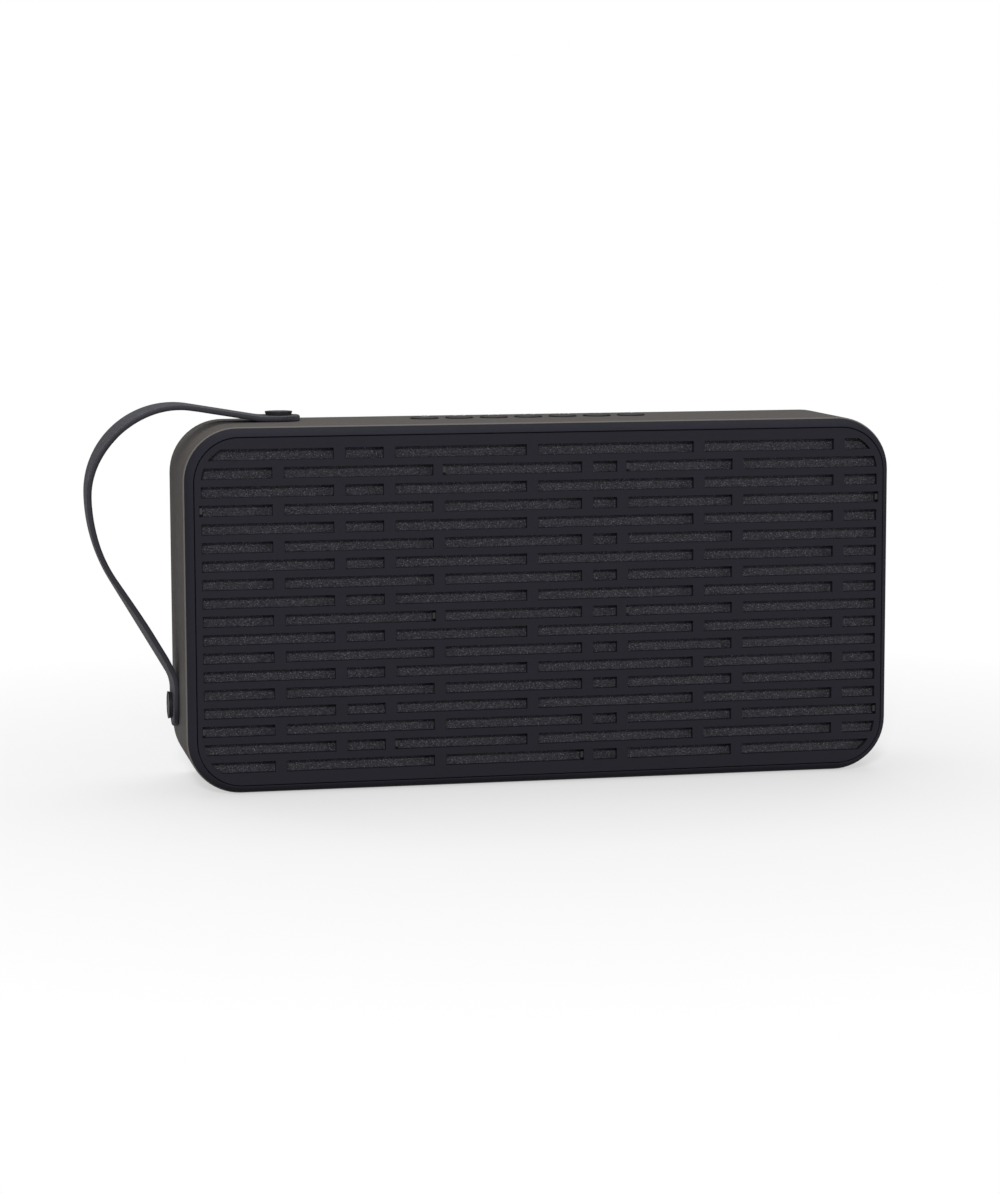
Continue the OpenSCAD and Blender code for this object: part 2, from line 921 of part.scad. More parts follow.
// Silicone sheet with a raised rim, sealing the row of buttons from below
module keypad_seal() {
    bottom = inner_top - 2.2;
    sheet_t = 0.6;
    seal_w = 13.4;
    seal_r = 3;
    rim_t = 0.5;
    color("black")
        translate([button_mid_x, control_y, 0])
            difference() {
                translate([0, 0, bottom])
                    linear_extrude(inner_top - play - bottom)
                        rounded_rect(2 * seal_half_x, seal_w, seal_r);
                translate([0, 0, bottom + sheet_t])
                    linear_extrude(wall)
                        rounded_rect(2 * (seal_half_x - rim_t), seal_w - 2 * rim_t, seal_r - rim_t);
                for (i = [0:button_count - 1])
                    translate([button_x(i) - button_mid_x, 0, bottom - past])
                        cylinder(r = stem_r + 2 * fit, h = sheet_t + 2 * past);
            }
}

module button_board()
    color("darkgreen")
        difference() {
            translate([button_mid_x, control_y, button_board_top - board_t])
                linear_extrude(board_t)
                    rounded_rect(2 * (board_post_x + button_board_overhang), button_board_w, 1.5);
            for (s = [-1, 1])
                translate([button_mid_x + s * board_post_x, control_y, 0])
                    cylinder(r = post_bore_r + 2 * fit, h = case_top);
        }

// A square switch body with a round dome under each button
module tact_switches()
    color("silver")
        for (i = [0:button_count - 1])
            translate([button_x(i), control_y, button_board_top + play]) {
                translate([-switch_w / 2, -switch_w / 2, 0])
                    cube([switch_w, switch_w, switch_body_h]);
                cylinder(r = switch_dome_r, h = switch_h - play);
            }

// ---------- Boards ----------

module main_board()
    color("darkgreen")
        difference() {
            block([board_x0, board_front, board_z0], [board_x1, board_back, board_z1]);
            for (h = board_holes)
                rod_y(h[0], h[1], board_pilot_r + 2 * fit, board_front - past, board_back + past);
            upright(board_front - past, board_back + past)
                translate([aux_x, bay_z])
                    square(aux_body_w + 2 * fit, center = true);
        }

// Chips, each given as [x, height above the casing's bottom, half width, thickness]
module board_chips()
    color("black")
        for (c = [[52, 70, 5, 1.3], [68, 74, 4, 1.1], [88, 72, 3.5, 1], [52, 50, 3, 1]])
            block(
                [c[0] - c[2], board_back + play, pad_proud + c[1] - c[2]],
                [c[0] + c[2], board_back + play + c[3], pad_proud + c[1] + c[2]]
            );

// Shielded radio on its own small board
module wireless_module()
    color("silver") {
        y = board_back + play;
        x = 88;
        z = pad_proud + 57;
        half_w = 10;
        half_h = 7;
        carrier_t = 0.8;
        shield_t = 1.6;
        antenna = 4;
        block([x - half_w, y, z - half_h], [x + half_w, y + carrier_t, z + half_h]);
        block(
            [x - half_w + past, y + carrier_t - 0.1, z - half_h + past],
            [x + half_w - past - antenna, y + carrier_t + shield_t, z + half_h - past]
        );
    }

module board_capacitors()
    color("navy")
        for (i = [0:2])
            rod_y(board_x0 + 10.5 * (i + 1), pad_proud + 60, can_r, board_back + play, board_back + can_h);

module board_screws()
    color("silver") {
        for (h = board_holes) {
            rod_y(h[0], h[1], 2, board_front - 1.4, board_front - play);
            rod_y(h[0], h[1], board_pilot_r - play, board_front - 1, board_back + 5);
        }
        for (s = [-1, 1])
            translate([button_mid_x + s * board_post_x, control_y, 0]) {
                translate([0, 0, button_board_top - board_t - play - 1.2])
                    cylinder(r = 1.9, h = 1.2);
                translate([0, 0, button_board_top - board_t - 0.8])
                    cylinder(r = post_bore_r - play, h = board_t + 4);
            }
    }

module ribbon_cable()
    color("white") {
        t = 0.3;
        x0 = board_x0 + 8.5;
        x1 = x0 + 6;
        y1 = board_front - 0.4;
        z1 = button_board_top - board_t - play;
        block([x0 - 8, y1 - 3, z1 - t], [x1, y1, z1]);
        block([x0, y1 - t, board_z1 - 2.5], [x1, y1, z1]);
    }

// ---------- Battery ----------

module battery_cells()
    color("steelblue")
        for (z = cell_z) {
            cap_r = 3;
            cap_h = 1.4;
            translate([-cell_len / 2, cell_y, z])
                rotate([0, 90, 0])
                    cylinder(r = cell_r, h = cell_len - cap_h + merge);
            translate([cell_len / 2 - cap_h, cell_y, z])
                rotate([0, 90, 0])
                    cylinder(r = cap_r, h = cap_h);
        }

// A tray on the rear cover, with a wall at each end of the cells
module battery_bracket()
    color("dimgray") {
        t = 1.5;
        x = cell_len / 2 + 0.6;
        z0 = cell_z[0] - cell_r - 0.5;
        z1 = cell_z[1] + cell_r + 0.5;
        y0 = cell_y + cell_r + 0.2;
        block([-x - t, y0, z0], [x + t, plate_inner - play, z1]);
        for (s = [-1, 1])
            translate([s * (x + t / 2), 0, 0])
                block([-t / 2, cell_y - 6, z0], [t / 2, y0 + 0.1, z1]);
    }

// A round wire through a list of points, with a small block where it bends
module wire(points, r)
    for (i = [0:len(points) - 2]) {
        a = points[i];
        d = points[i + 1] - a;
        translate(a)
            rotate([0, acos(d[2] / norm(d)), atan2(d[1], d[0])])
                cylinder(r = r, h = norm(d));
        if (i > 0)
            translate(a)
                cube(2.8 * r, center = true);
    }

module battery_wires()
    color("red")
        for (s = [0, 1])
            wire([
                [cell_len / 2 + 2.8, cell_y - 3, cell_z[1] - 3 + 4 * s],
                [board_x0 + 8, cell_y - 3, cell_z[1] - 3 + 4 * s],
                [board_x0 + 8, wire_end_y, cell_z[1] - 3 + 4 * s]
            ], wire_r);

module speaker_wires()
    color("firebrick")
        for (s = [0, 1]) {
            start = [-driver_x + 10 + 3 * s, -2, case_z + 14];
            rail = [0, 7, case_z + 22 + 3 * s];
            drop_x = board_x0 + 9 + 3 * s;
            right_x = driver_x + 16 + 3 * s;
            wire([
                start,
                rail + [start[0], 0, 0],
                rail + [drop_x, 0, 0],
                [drop_x, wire_end_y, rail[2]]
            ], wire_r);
            wire([[right_x, -2, case_z + 14], [right_x, wire_end_y, case_z + 22]], wire_r);
        }

// ---------- Ports ----------

module usb_port()
    color("silver")
        difference() {
            upright(board_back + play, plate_inner - 0.3)
                translate([usb_x, bay_z])
                    rounded_rect(usb_w, usb_h, usb_h / 2 - play);
            // The socket, with its contact tongue left standing
            upright(plate_inner - usb_depth, plate_inner)
                translate([usb_x, bay_z])
                    difference() {
                        rounded_rect(usb_w - 0.6, usb_h - 0.6, usb_h / 2 - 0.35);
                        square([6.7, 0.7], center = true);
                    }
        }

module aux_jack()
    color("black")
        difference() {
            union() {
                rod_y(aux_x, bay_z, aux_nose_r, plate_inner - 2, rear_y - bay_d - play);
                block(
                    [aux_x - aux_body_w / 2, aux_floor - 0.6, bay_z - aux_body_w / 2],
                    [aux_x + aux_body_w / 2, plate_inner - 0.5, bay_z + aux_body_w / 2]
                );
            }
            rod_y(aux_x, bay_z, aux_bore_r, aux_floor, rear_y);
        }

module status_led()
    color("white") {
        rod_y(led_x, bay_z, led_r, plate_inner - 0.5, rear_y - 0.1);
        rod_y(led_x, bay_z, led_r + 0.8, plate_inner - 1.6, plate_inner - play);
    }

// ---------- Strap ----------

// Stations along an arc of the strap, as [point, heading], from a start point and heading
function arc_stations(start, heading, r, turn, steps) = [
    for (i = [0:steps])
        let (h = heading + turn * i / steps)
        [start + sign(turn) * r * [sin(h) - sin(heading), cos(heading) - cos(h)], h]
];

// Stations along the whole strap, from the top stud round the loop to the side stud
strap_stations = concat(
    [[[top_stud_x, strap_top_z], 180]],
    arc_stations(loop_0, 180, lift_r, -rise_angle, 3),
    arc_stations(loop_2, 180 - rise_angle, loop_r, 90 + rise_angle, 24),
    arc_stations(loop_3, 270, sweep_r, return_angle, 8),
    arc_stations(loop_5, 270 + return_angle, settle_r, -return_angle, 7),
    [[[strap_side_x, side_stud_z], 270]]
);

function beside(station, side) = station[0] + side * strap_t / 2 * [sin(station[1]), -cos(station[1])];

module strap_side_view() {
    last = len(strap_stations) - 1;
    polygon(concat(
        [for (i = [0:last]) beside(strap_stations[i], 1)],
        [for (i = [0:last]) beside(strap_stations[last - i], -1)]
    ));
}

// The whole strap, with a round end under each stud
module whole_strap()
    difference() {
        union() {
            upright(control_y - strap_w / 2, control_y + strap_w / 2)
                strap_side_view();
            translate([top_stud_x, control_y, strap_top_z - strap_t / 2])
                cylinder(r = strap_w / 2, h = strap_t);
            translate([strap_side_x - strap_t / 2, control_y, side_stud_z])
                rotate([0, 90, 0])
                    cylinder(r = strap_w / 2, h = strap_t);
        }
        translate([top_stud_x, control_y, case_top - past])
            cylinder(r = stud_hole_r, h = strap_t + 3 * past);
        translate([-side_x - strap_t - 2 * past, control_y, side_stud_z])
            rotate([0, 90, 0])
                cylinder(r = stud_hole_r, h = strap_t + 3 * past);
    }

// A cylinder round the line that the loop sways about
module sway_cylinder(r)
    translate([strap_side_x, control_y, side_stud_z])
        rotate([0, sway_tilt, 0])
            translate([0, 0, -40])
                cylinder(r = r, h = 200);

module strap_ends()
    intersection() {
        whole_strap();
        sway_cylinder(sway_cut_r);
    }

module strap_top_end()
    color("slategray")
        intersection() {
            strap_ends();
            translate([-side_x - 20, -50, case_top - 2])
                cube([80, 100, 30]);
        }

module strap_side_end()
    color("slategray")
        intersection() {
            strap_ends();
            translate([-side_x - 50, -50, 0])
                cube([80, 100, case_top - 30]);
        }

module strap_loop()
    color("slategray")
        difference() {
            whole_strap();
            sway_cylinder(sway_cut_r + sway_gap);
        }

// A low flat-headed stud; its shank goes through the strap and the wall
module stud() {
    difference() {
        translate([0, 0, strap_t + 2 * play])
            cylinder(r1 = stud_head_r - 0.3, r2 = stud_head_r, h = stud_head_t);
        translate([0, 0, strap_t + 2 * play + stud_head_t - stud_dish])
            cylinder(r = stud_head_r - stud_rim, h = past);
    }
    translate([0, 0, -wall - nut_t - 0.5])
        cylinder(r = stud_shank_r, h = wall + nut_t + strap_t + 1);
}

module top_stud()
    color("black")
        translate([top_stud_x, control_y, case_top])
            stud();

module side_stud()
    color("black")
        translate([-side_x, control_y, side_stud_z])
            rotate([0, -90, 0])
                stud();

module nut()
    difference() {
        cylinder(r = nut_r, h = nut_t, $fn = 6);
        translate([0, 0, -past])
            cylinder(r = stud_shank_r + play, h = nut_t + 2 * past);
    }

module stud_nuts()
    color("silver") {
        translate([top_stud_x, control_y, inner_top - play - nut_t])
            nut();
        translate([-side_x + wall + play, control_y, side_stud_z])
            rotate([0, 90, 0])
                nut();
    }

main_shell();
front_frame();
grille_panel();
grille_cloth();
grille_hooks();
front_gasket();
speaker_baffle();
baffle_screws();
rear_cover();
rear_gasket();
rear_screws();
foot_strip();
left_basket();
left_magnet();
left_cone();
left_surround();
left_spider();
right_basket();
right_magnet();
right_cone();
right_surround();
right_spider();
driver_screws();
radiator_frame();
radiator_plate();
radiator_surround();
power_button();
wireless_button();
previous_button();
play_button();
next_button();
volume_down_button();
volume_up_button();
keypad_seal();
button_board();
tact_switches();
main_board();
board_chips();
wireless_module();
board_capacitors();
board_screws();
battery_cells();
battery_bracket();
battery_wires();
speaker_wires();
ribbon_cable();
port_cover();
usb_port();
aux_jack();
status_led();
strap_top_end();
strap_loop();
strap_side_end();
top_stud();
side_stud();
stud_nuts();
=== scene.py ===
"""Looks of a portable shower speaker, built around its fixed CAD frame. Metres throughout."""

import json
import math

import bmesh
import bpy
import numpy as np
from mathutils import Euler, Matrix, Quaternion, Vector


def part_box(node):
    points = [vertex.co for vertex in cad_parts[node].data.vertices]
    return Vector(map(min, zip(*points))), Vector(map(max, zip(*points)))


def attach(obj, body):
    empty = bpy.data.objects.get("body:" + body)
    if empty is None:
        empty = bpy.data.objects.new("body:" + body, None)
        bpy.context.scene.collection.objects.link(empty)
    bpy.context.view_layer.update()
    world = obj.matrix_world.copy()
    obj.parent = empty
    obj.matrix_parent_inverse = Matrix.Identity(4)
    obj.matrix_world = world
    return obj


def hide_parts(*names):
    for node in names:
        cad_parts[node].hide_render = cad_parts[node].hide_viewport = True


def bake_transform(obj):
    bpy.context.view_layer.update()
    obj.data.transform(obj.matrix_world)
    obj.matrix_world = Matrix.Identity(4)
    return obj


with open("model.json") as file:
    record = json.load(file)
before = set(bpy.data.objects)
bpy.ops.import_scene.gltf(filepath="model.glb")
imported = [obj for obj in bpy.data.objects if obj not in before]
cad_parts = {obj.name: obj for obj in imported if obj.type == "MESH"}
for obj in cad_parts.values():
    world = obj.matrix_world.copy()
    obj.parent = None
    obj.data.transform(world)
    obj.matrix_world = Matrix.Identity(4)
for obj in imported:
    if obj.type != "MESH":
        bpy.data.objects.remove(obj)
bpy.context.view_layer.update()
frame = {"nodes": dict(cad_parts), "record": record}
nodes = frame["nodes"]
MM = 0.001


# ---------- Node materials ----------


class Shader:
    """One node material around a Principled BSDF, with short calls for the nodes used here."""

    def __init__(self, name):
        self.material = bpy.data.materials.new(name)
        self.material.use_nodes = True
        self.tree = self.material.node_tree
        self.bsdf = self.tree.nodes["Principled BSDF"]
        self.place = self.node("ShaderNodeTexCoord").outputs["Object"]

    def put(self, socket, value):
        """Links an output to a socket, or sets a plain value on it."""
        if isinstance(value, bpy.types.NodeSocket):
            self.tree.links.new(value, socket)
        elif socket.type == "RGBA" and len(value) == 3:
            socket.default_value = (*value, 1)
        else:
            socket.default_value = value

    def node(self, kind, inputs=None, **settings):
        made = self.tree.nodes.new(kind)
        for key, value in settings.items():
            setattr(made, key, value)
        for key, value in (inputs or {}).items():
            self.put(made.inputs[key], value)
        return made

    def noise(self, size, detail=2.0, stretch=(1, 1, 1)):
        """Noise whose grain is about size metres across, longer along an axis whose stretch is above 1."""
        scale = Vector([1 / (size * s) for s in stretch])
        mapped = self.node("ShaderNodeMapping", {"Vector": self.place, "Scale": scale})
        made = self.node(
            "ShaderNodeTexNoise",
            {"Vector": mapped.outputs["Vector"], "Scale": 1.0, "Detail": detail, "Roughness": 0.6},
        )
        return made.outputs["Fac"]

    def spots(self, size):
        """Distance to the nearest of many scattered points, which are about size metres apart."""
        made = self.node("ShaderNodeTexVoronoi", {"Vector": self.place, "Scale": 1 / size})
        return made.outputs["Distance"]

    def between(self, factor, low, high, to_low=0.0, to_high=1.0):
        """Carries a factor's stretch from low to high over to another stretch, clamped."""
        made = self.node(
            "ShaderNodeMapRange",
            {"Value": factor, "From Min": low, "From Max": high, "To Min": to_low, "To Max": to_high},
        )
        return made.outputs["Result"]

    def mix(self, factor, a, b):
        made = self.node("ShaderNodeMix", data_type="RGBA")
        self.put(made.inputs[0], factor)
        self.put(made.inputs[6], a)
        self.put(made.inputs[7], b)
        return made.outputs[2]

    def math(self, operation, a, b=0.0):
        made = self.node("ShaderNodeMath", operation=operation)
        self.put(made.inputs[0], a)
        self.put(made.inputs[1], b)
        return made.outputs[0]

    def soft_edges(self, radius):
        """Normals that round every sharp edge by a small radius."""
        return self.node("ShaderNodeBevel", {"Radius": radius}, samples=4).outputs["Normal"]

    def edge_mask(self, radius):
        """1 along sharp edges and 0 on flat faces."""
        bevel = self.soft_edges(radius)
        plain = self.node("ShaderNodeNewGeometry").outputs["Normal"]
        turn = self.node("ShaderNodeVectorMath", {0: bevel, 1: plain}, operation="DOT_PRODUCT")
        return self.between(turn.outputs["Value"], 0.98, 0.75)

    def bump(self, height, distance, strength=1.0, normal=None):
        made = self.node("ShaderNodeBump", {"Height": height, "Distance": distance, "Strength": strength})
        if normal is not None:
            self.put(made.inputs["Normal"], normal)
        return made.outputs["Normal"]

    def finish(self, color, roughness, normal=None, **extra):
        self.put(self.bsdf.inputs["Base Color"], color)
        self.put(self.bsdf.inputs["Roughness"], roughness)
        if normal is not None:
            self.put(self.bsdf.inputs["Normal"], normal)
        for key, value in extra.items():
            self.put(self.bsdf.inputs[key.replace("_", " ")], value)
        return self.material


def tint(color, factor):
    return tuple(c * factor for c in color)


def plastic(name, color, roughness, grain=0.12 * MM, depth=0.012 * MM, edge=0.12 * MM, wear=1.25, **extra):
    """Moulded plastic: a fine spark-eroded grain, cloudy gloss, and edges a little worn."""
    s = Shader(name)
    clouds = s.noise(9 * MM, 3)
    fine = s.noise(grain, 2)
    cloudy = s.mix(clouds, tint(color, 0.93), tint(color, 1.07))
    grained = s.mix(s.between(fine, 0.35, 0.65), tint(color, 0.9), cloudy)
    worn = s.mix(s.edge_mask(edge), grained, tint(color, wear))
    gloss = s.between(s.noise(2.5 * MM, 3), 0.3, 0.7, roughness - 0.04, roughness + 0.05)
    normal = s.bump(fine, depth, 0.6, s.soft_edges(edge))
    return s.finish(worn, gloss, normal, **extra)


def shell_material():
    """Warm grey shell plastic, with a painted highlight on the chamfer along the front and rear seams:
    chamfer faces are coloured paler.
    """
    s = Shader("shell_plastic")
    color = (0.1, 0.0905, 0.084)
    clouds = s.noise(9 * MM, 3)
    fine = s.noise(0.12 * MM, 2)
    cloudy = s.mix(clouds, tint(color, 0.93), tint(color, 1.07))
    grained = s.mix(s.between(fine, 0.35, 0.65), tint(color, 0.9), cloudy)
    facing = s.node("ShaderNodeSeparateXYZ", {"Vector": s.node("ShaderNodeNewGeometry").outputs["Normal"]})
    slope = s.math("ABSOLUTE", s.math("SUBTRACT", s.math("ABSOLUTE", facing.outputs["Y"]), 0.707))
    chamfer = s.between(slope, 0.12, 0.06)
    # Painted highlight: faces tilted halfway between front and side (the seam chamfers) get a 1.4 times paler
    # colour
    shell_with_painted_highlight = s.mix(chamfer, grained, tint(color, 1.4))
    gloss = s.between(s.noise(2.5 * MM, 3), 0.3, 0.7, 0.56, 0.65)
    normal = s.bump(fine, 0.012 * MM, 0.6, s.soft_edges(0.1 * MM))
    return s.finish(shell_with_painted_highlight, gloss, normal, Specular_IOR_Level=0.3)


def button_material():
    """Hard key caps: grey on top, with painted shade on their sides, coloured near black so a dark ring shows
    round each key.
    """
    s = Shader("button_plastic")
    fine = s.noise(0.12 * MM, 2)
    top = s.mix(fine, (0.04, 0.037, 0.035), (0.055, 0.051, 0.049))
    facing = s.node("ShaderNodeSeparateXYZ", {"Vector": s.node("ShaderNodeNewGeometry").outputs["Normal"]})
    # Painted shade: faces that do not point up are coloured near black to stand in for the shadow in the gap
    # round each key
    base = s.mix(s.between(facing.outputs["Z"], 0.5, 0.9), (0.006, 0.006, 0.007), top)
    return s.finish(base, 0.45, s.bump(fine, 0.01 * MM, 0.5, s.soft_edges(0.1 * MM)), Specular_IOR_Level=0.3)


def rubber(name, color, roughness=0.72):
    """Matte rubber with a dusty bloom."""
    s = Shader(name)
    bloom = s.between(s.noise(1.6 * MM, 4), 0.3, 0.75)
    base = s.mix(bloom, tint(color, 0.85), tint(color, 1.25))
    normal = s.bump(s.noise(0.2 * MM, 3), 0.02 * MM, 0.5, s.soft_edges(0.2 * MM))
    return s.finish(base, s.between(bloom, 0, 1, roughness, roughness + 0.12), normal, Specular_IOR_Level=0.3)


def metal(name, color, roughness=0.32, along=(6, 1, 1)):
    """Plated or rolled metal with fine drawn lines."""
    s = Shader(name)
    lines = s.noise(0.12 * MM, 2, along)
    patina = s.mix(s.noise(3 * MM, 3), tint(color, 0.82), color)
    gloss = s.between(lines, 0.3, 0.7, roughness - 0.08, roughness + 0.1)
    normal = s.bump(lines, 0.006 * MM, 0.5, s.soft_edges(0.08 * MM))
    return s.finish(patina, gloss, normal, Metallic=1.0)


def painted_metal(name, color, roughness=0.38):
    """Satin black finish over metal: slight orange peel and bare-looking edges."""
    s = Shader(name)
    peel = s.noise(0.5 * MM, 2)
    worn = s.mix(s.edge_mask(0.12 * MM), s.mix(peel, tint(color, 0.85), tint(color, 1.15)), tint(color, 2.2))
    normal = s.bump(peel, 0.01 * MM, 0.5, s.soft_edges(0.12 * MM))
    return s.finish(worn, s.between(peel, 0.3, 0.7, roughness - 0.05, roughness + 0.07), normal)


def cloth_material():
    """Melange speaker cloth: charcoal yarn, darker hollows, and pale fibre ends scattered over it."""
    s = Shader("speaker_cloth")
    yarn = s.noise(0.34 * MM, 3, (1.2, 1, 0.9))
    hue = s.noise(7 * MM, 2)
    dark = s.mix(hue, (0.008, 0.0076, 0.0105), (0.009, 0.0082, 0.0095))
    pale = s.mix(hue, (0.038, 0.0372, 0.052), (0.041, 0.0392, 0.048))
    base = s.mix(s.between(yarn, 0.4, 0.62), dark, pale)
    tips = s.between(s.spots(0.55 * MM), 0.3, 0.16)
    chosen = s.between(s.noise(0.9 * MM, 1), 0.4, 0.6, 0.35, 1)
    speckled = s.mix(s.math("MULTIPLY", tips, chosen), base, (0.15, 0.15, 0.178))
    height = s.math("ADD", yarn, s.math("MULTIPLY", tips, 0.3))
    normal = s.bump(height, 0.16 * MM, 0.9)
    return s.finish(speckled, 0.95, normal, Specular_IOR_Level=0.12, Sheen_Weight=0.25, Sheen_Roughness=0.6)


def strap_material():
    """Blue-grey leatherette: pebbled on its faces, smooth and darker on its painted edges, with pale scuff
    specks that also serve as painted highlights.
    """
    s = Shader("strap_leather")
    pebble = s.spots(0.55 * MM)
    pores = s.noise(0.22 * MM, 3)
    base = s.mix(s.between(pebble, 0.05, 0.6), (0.085, 0.087, 0.1), (0.05, 0.051, 0.062))
    # Pale scuff specks, partly real scuffing and partly painted highlight on the strap's faces
    scuffs_and_highlight_specks = s.between(s.noise(4 * MM, 4), 0.42, 0.72)
    mottled_with_painted_highlights = s.mix(s.math("MULTIPLY", scuffs_and_highlight_specks, s.between(pebble, 0.45, 0.15)), base, (0.19, 0.192, 0.215))
    facing = s.node("ShaderNodeSeparateXYZ", {"Vector": s.node("ShaderNodeNewGeometry").outputs["Normal"]})
    edge = s.between(s.math("ABSOLUTE", facing.outputs["Y"]), 0.55, 0.85)
    color = s.mix(edge, mottled_with_painted_highlights, (0.019, 0.0195, 0.026))
    height = s.math("ADD", s.math("MULTIPLY", pebble, -1.0), s.math("MULTIPLY", pores, 0.5))
    faces = s.math("SUBTRACT", 1.0, s.math("MULTIPLY", edge, 0.8))
    normal = s.bump(height, 0.05 * MM, faces)
    return s.finish(color, s.between(pores, 0.3, 0.7, 0.48, 0.62), normal, Specular_IOR_Level=0.35)


def paper_material():
    """Pressed paper pulp of the driver cones."""
    s = Shader("cone_paper")
    fibre = s.noise(0.4 * MM, 4, (1, 1, 3))
    base = s.mix(fibre, (0.018, 0.018, 0.018), (0.05, 0.048, 0.045))
    return s.finish(base, 0.85, s.bump(fibre, 0.06 * MM, 0.8))


def spider_material():
    """Resin-treated cotton that centres a voice coil."""
    s = Shader("spider_cloth")
    thread = s.math("MULTIPLY", s.noise(0.3 * MM, 1, (4, 1, 1)), s.noise(0.3 * MM, 1, (1, 1, 4)))
    base = s.mix(s.between(thread, 0.15, 0.35), (0.35, 0.2, 0.07), (0.62, 0.44, 0.2))
    return s.finish(base, 0.7, s.bump(thread, 0.08 * MM, 0.8))


def board_material():
    """Green solder mask with copper traces showing as paler lines."""
    s = Shader("board_green")
    cells = s.node("ShaderNodeTexVoronoi", {"Vector": s.place, "Scale": 1 / (4 * MM)}, distance="MANHATTAN")
    traces = s.between(s.math("PINGPONG", cells.outputs["Distance"], 0.12), 0.045, 0.06)
    base = s.mix(traces, (0.012, 0.085, 0.03), (0.03, 0.16, 0.06))
    return s.finish(base, 0.3, s.bump(traces, 0.03 * MM, 0.6, s.soft_edges(0.1 * MM)), Coat_Weight=0.4)


def sleeve(name, color):
    """Glossy shrink sleeve with small creases."""
    s = Shader(name)
    crease = s.noise(1.5 * MM, 3, (4, 1, 1))
    base = s.mix(crease, tint(color, 0.8), tint(color, 1.15))
    return s.finish(base, s.between(crease, 0.3, 0.7, 0.25, 0.38), s.bump(crease, 0.05 * MM, 0.4))


def lens_material():
    """Frosted plastic lens of the status light."""
    s = Shader("led_lens")
    frost = s.noise(0.3 * MM, 2)
    base = s.mix(frost, (0.7, 0.72, 0.7), (0.85, 0.87, 0.85))
    return s.finish(base, s.between(frost, 0.3, 0.7, 0.35, 0.5), s.bump(frost, 0.02 * MM, 0.5),
                    Subsurface_Weight=0.3)


def ink_material():
    """Pale printed marks on the keys, a little uneven."""
    s = Shader("key_ink")
    wear = s.noise(0.25 * MM, 3)
    base = s.mix(wear, (0.62, 0.62, 0.62), (0.8, 0.8, 0.8))
    return s.finish(base, 0.6, s.bump(wear, 0.01 * MM, 0.5))


FINISHES = {
    "shell_plastic": shell_material(),
    "rim_plastic": plastic("rim_plastic", (0.0245, 0.024, 0.033), 0.6, Specular_IOR_Level=0.04),
    "grille_plastic": plastic("grille_plastic", (0.0148, 0.0142, 0.0205), 0.62, Specular_IOR_Level=0.14),
    "speaker_cloth": cloth_material(),
    "black_plastic": plastic("black_plastic", (0.015, 0.015, 0.017), 0.55),
    "seal_rubber": rubber("seal_rubber", (0.014, 0.014, 0.014)),
    "cover_rubber": rubber("cover_rubber", (0.03, 0.03, 0.031), 0.6),
    "button_plastic": button_material(),
    "strap_leather": strap_material(),
    "stud_metal": painted_metal("stud_metal", (0.018, 0.018, 0.022)),
    "steel": metal("steel", (0.55, 0.55, 0.56)),
    "black_steel": painted_metal("black_steel", (0.025, 0.025, 0.025), 0.35),
    "magnet_steel": metal("magnet_steel", (0.35, 0.36, 0.38), 0.4),
    "basket_steel": painted_metal("basket_steel", (0.035, 0.035, 0.04), 0.45),
    "cone_paper": paper_material(),
    "spider_cloth": spider_material(),
    "board_green": board_material(),
    "chip_black": plastic("chip_black", (0.014, 0.014, 0.014), 0.45),
    "can_blue": sleeve("can_blue", (0.03, 0.045, 0.16)),
    "cell_wrap": sleeve("cell_wrap", (0.04, 0.16, 0.32)),
    "wire_red": rubber("wire_red", (0.4, 0.02, 0.02), 0.45),
    "ribbon": sleeve("ribbon", (0.7, 0.69, 0.63)),
    "led_lens": lens_material(),
}


def paint_cad_nodes():
    """Gives each CAD node the finish of its slot in the record."""
    for part in frame["record"]["subparts"]:
        materials = nodes[part["node"]].data.materials
        materials.clear()
        materials.append(FINISHES[part["material_slot"]])


# ---------- Meshes ----------


def mesh_object(name, vertices, faces, material):
    mesh = bpy.data.meshes.new(name)
    mesh.from_pydata([tuple(v) for v in vertices], [], faces)
    mesh.validate()
    mesh.materials.append(material)
    obj = bpy.data.objects.new(name, mesh)
    bpy.context.scene.collection.objects.link(obj)
    return obj


def smooth(obj, angle=40):
    """Smooth shading, with edges sharper than the angle kept."""
    for face in obj.data.polygons:
        face.use_smooth = True
    obj.data.set_sharp_from_angle(angle=math.radians(angle))


def grid_faces(rows, columns):
    return [
        (i * columns + j, i * columns + j + 1, (i + 1) * columns + j + 1, (i + 1) * columns + j)
        for i in range(rows - 1)
        for j in range(columns - 1)
    ]


def ring_faces(rings, around):
    """Quads between rings of points that follow each other, and a cap at each end."""
    faces = []
    for i in range(rings - 1):
        for j in range(around):
            k = (j + 1) % around
            faces.append((i * around + j, i * around + k, (i + 1) * around + k, (i + 1) * around + j))
    faces.append(tuple(range(around))[::-1])
    faces.append(tuple((rings - 1) * around + j for j in range(around)))
    return faces


def blurred(field, passes):
    """A field smoothed with its neighbours a number of times."""
    for _ in range(passes):
        for axis in (0, 1):
            field = (np.roll(field, 1, axis) + 2 * field + np.roll(field, -1, axis)) / 4
    return field / field.std()


# ---------- Speaker cloth ----------

CLOTH_STEP = 0.55 * MM
CLOTH_RELIEF = 0.035 * MM
CLOTH_GAP = 0.3 * MM
CLOTH_T = 0.15 * MM
CLOTH_SEED = 7
CLOTH_CORNER = 13.7 * MM


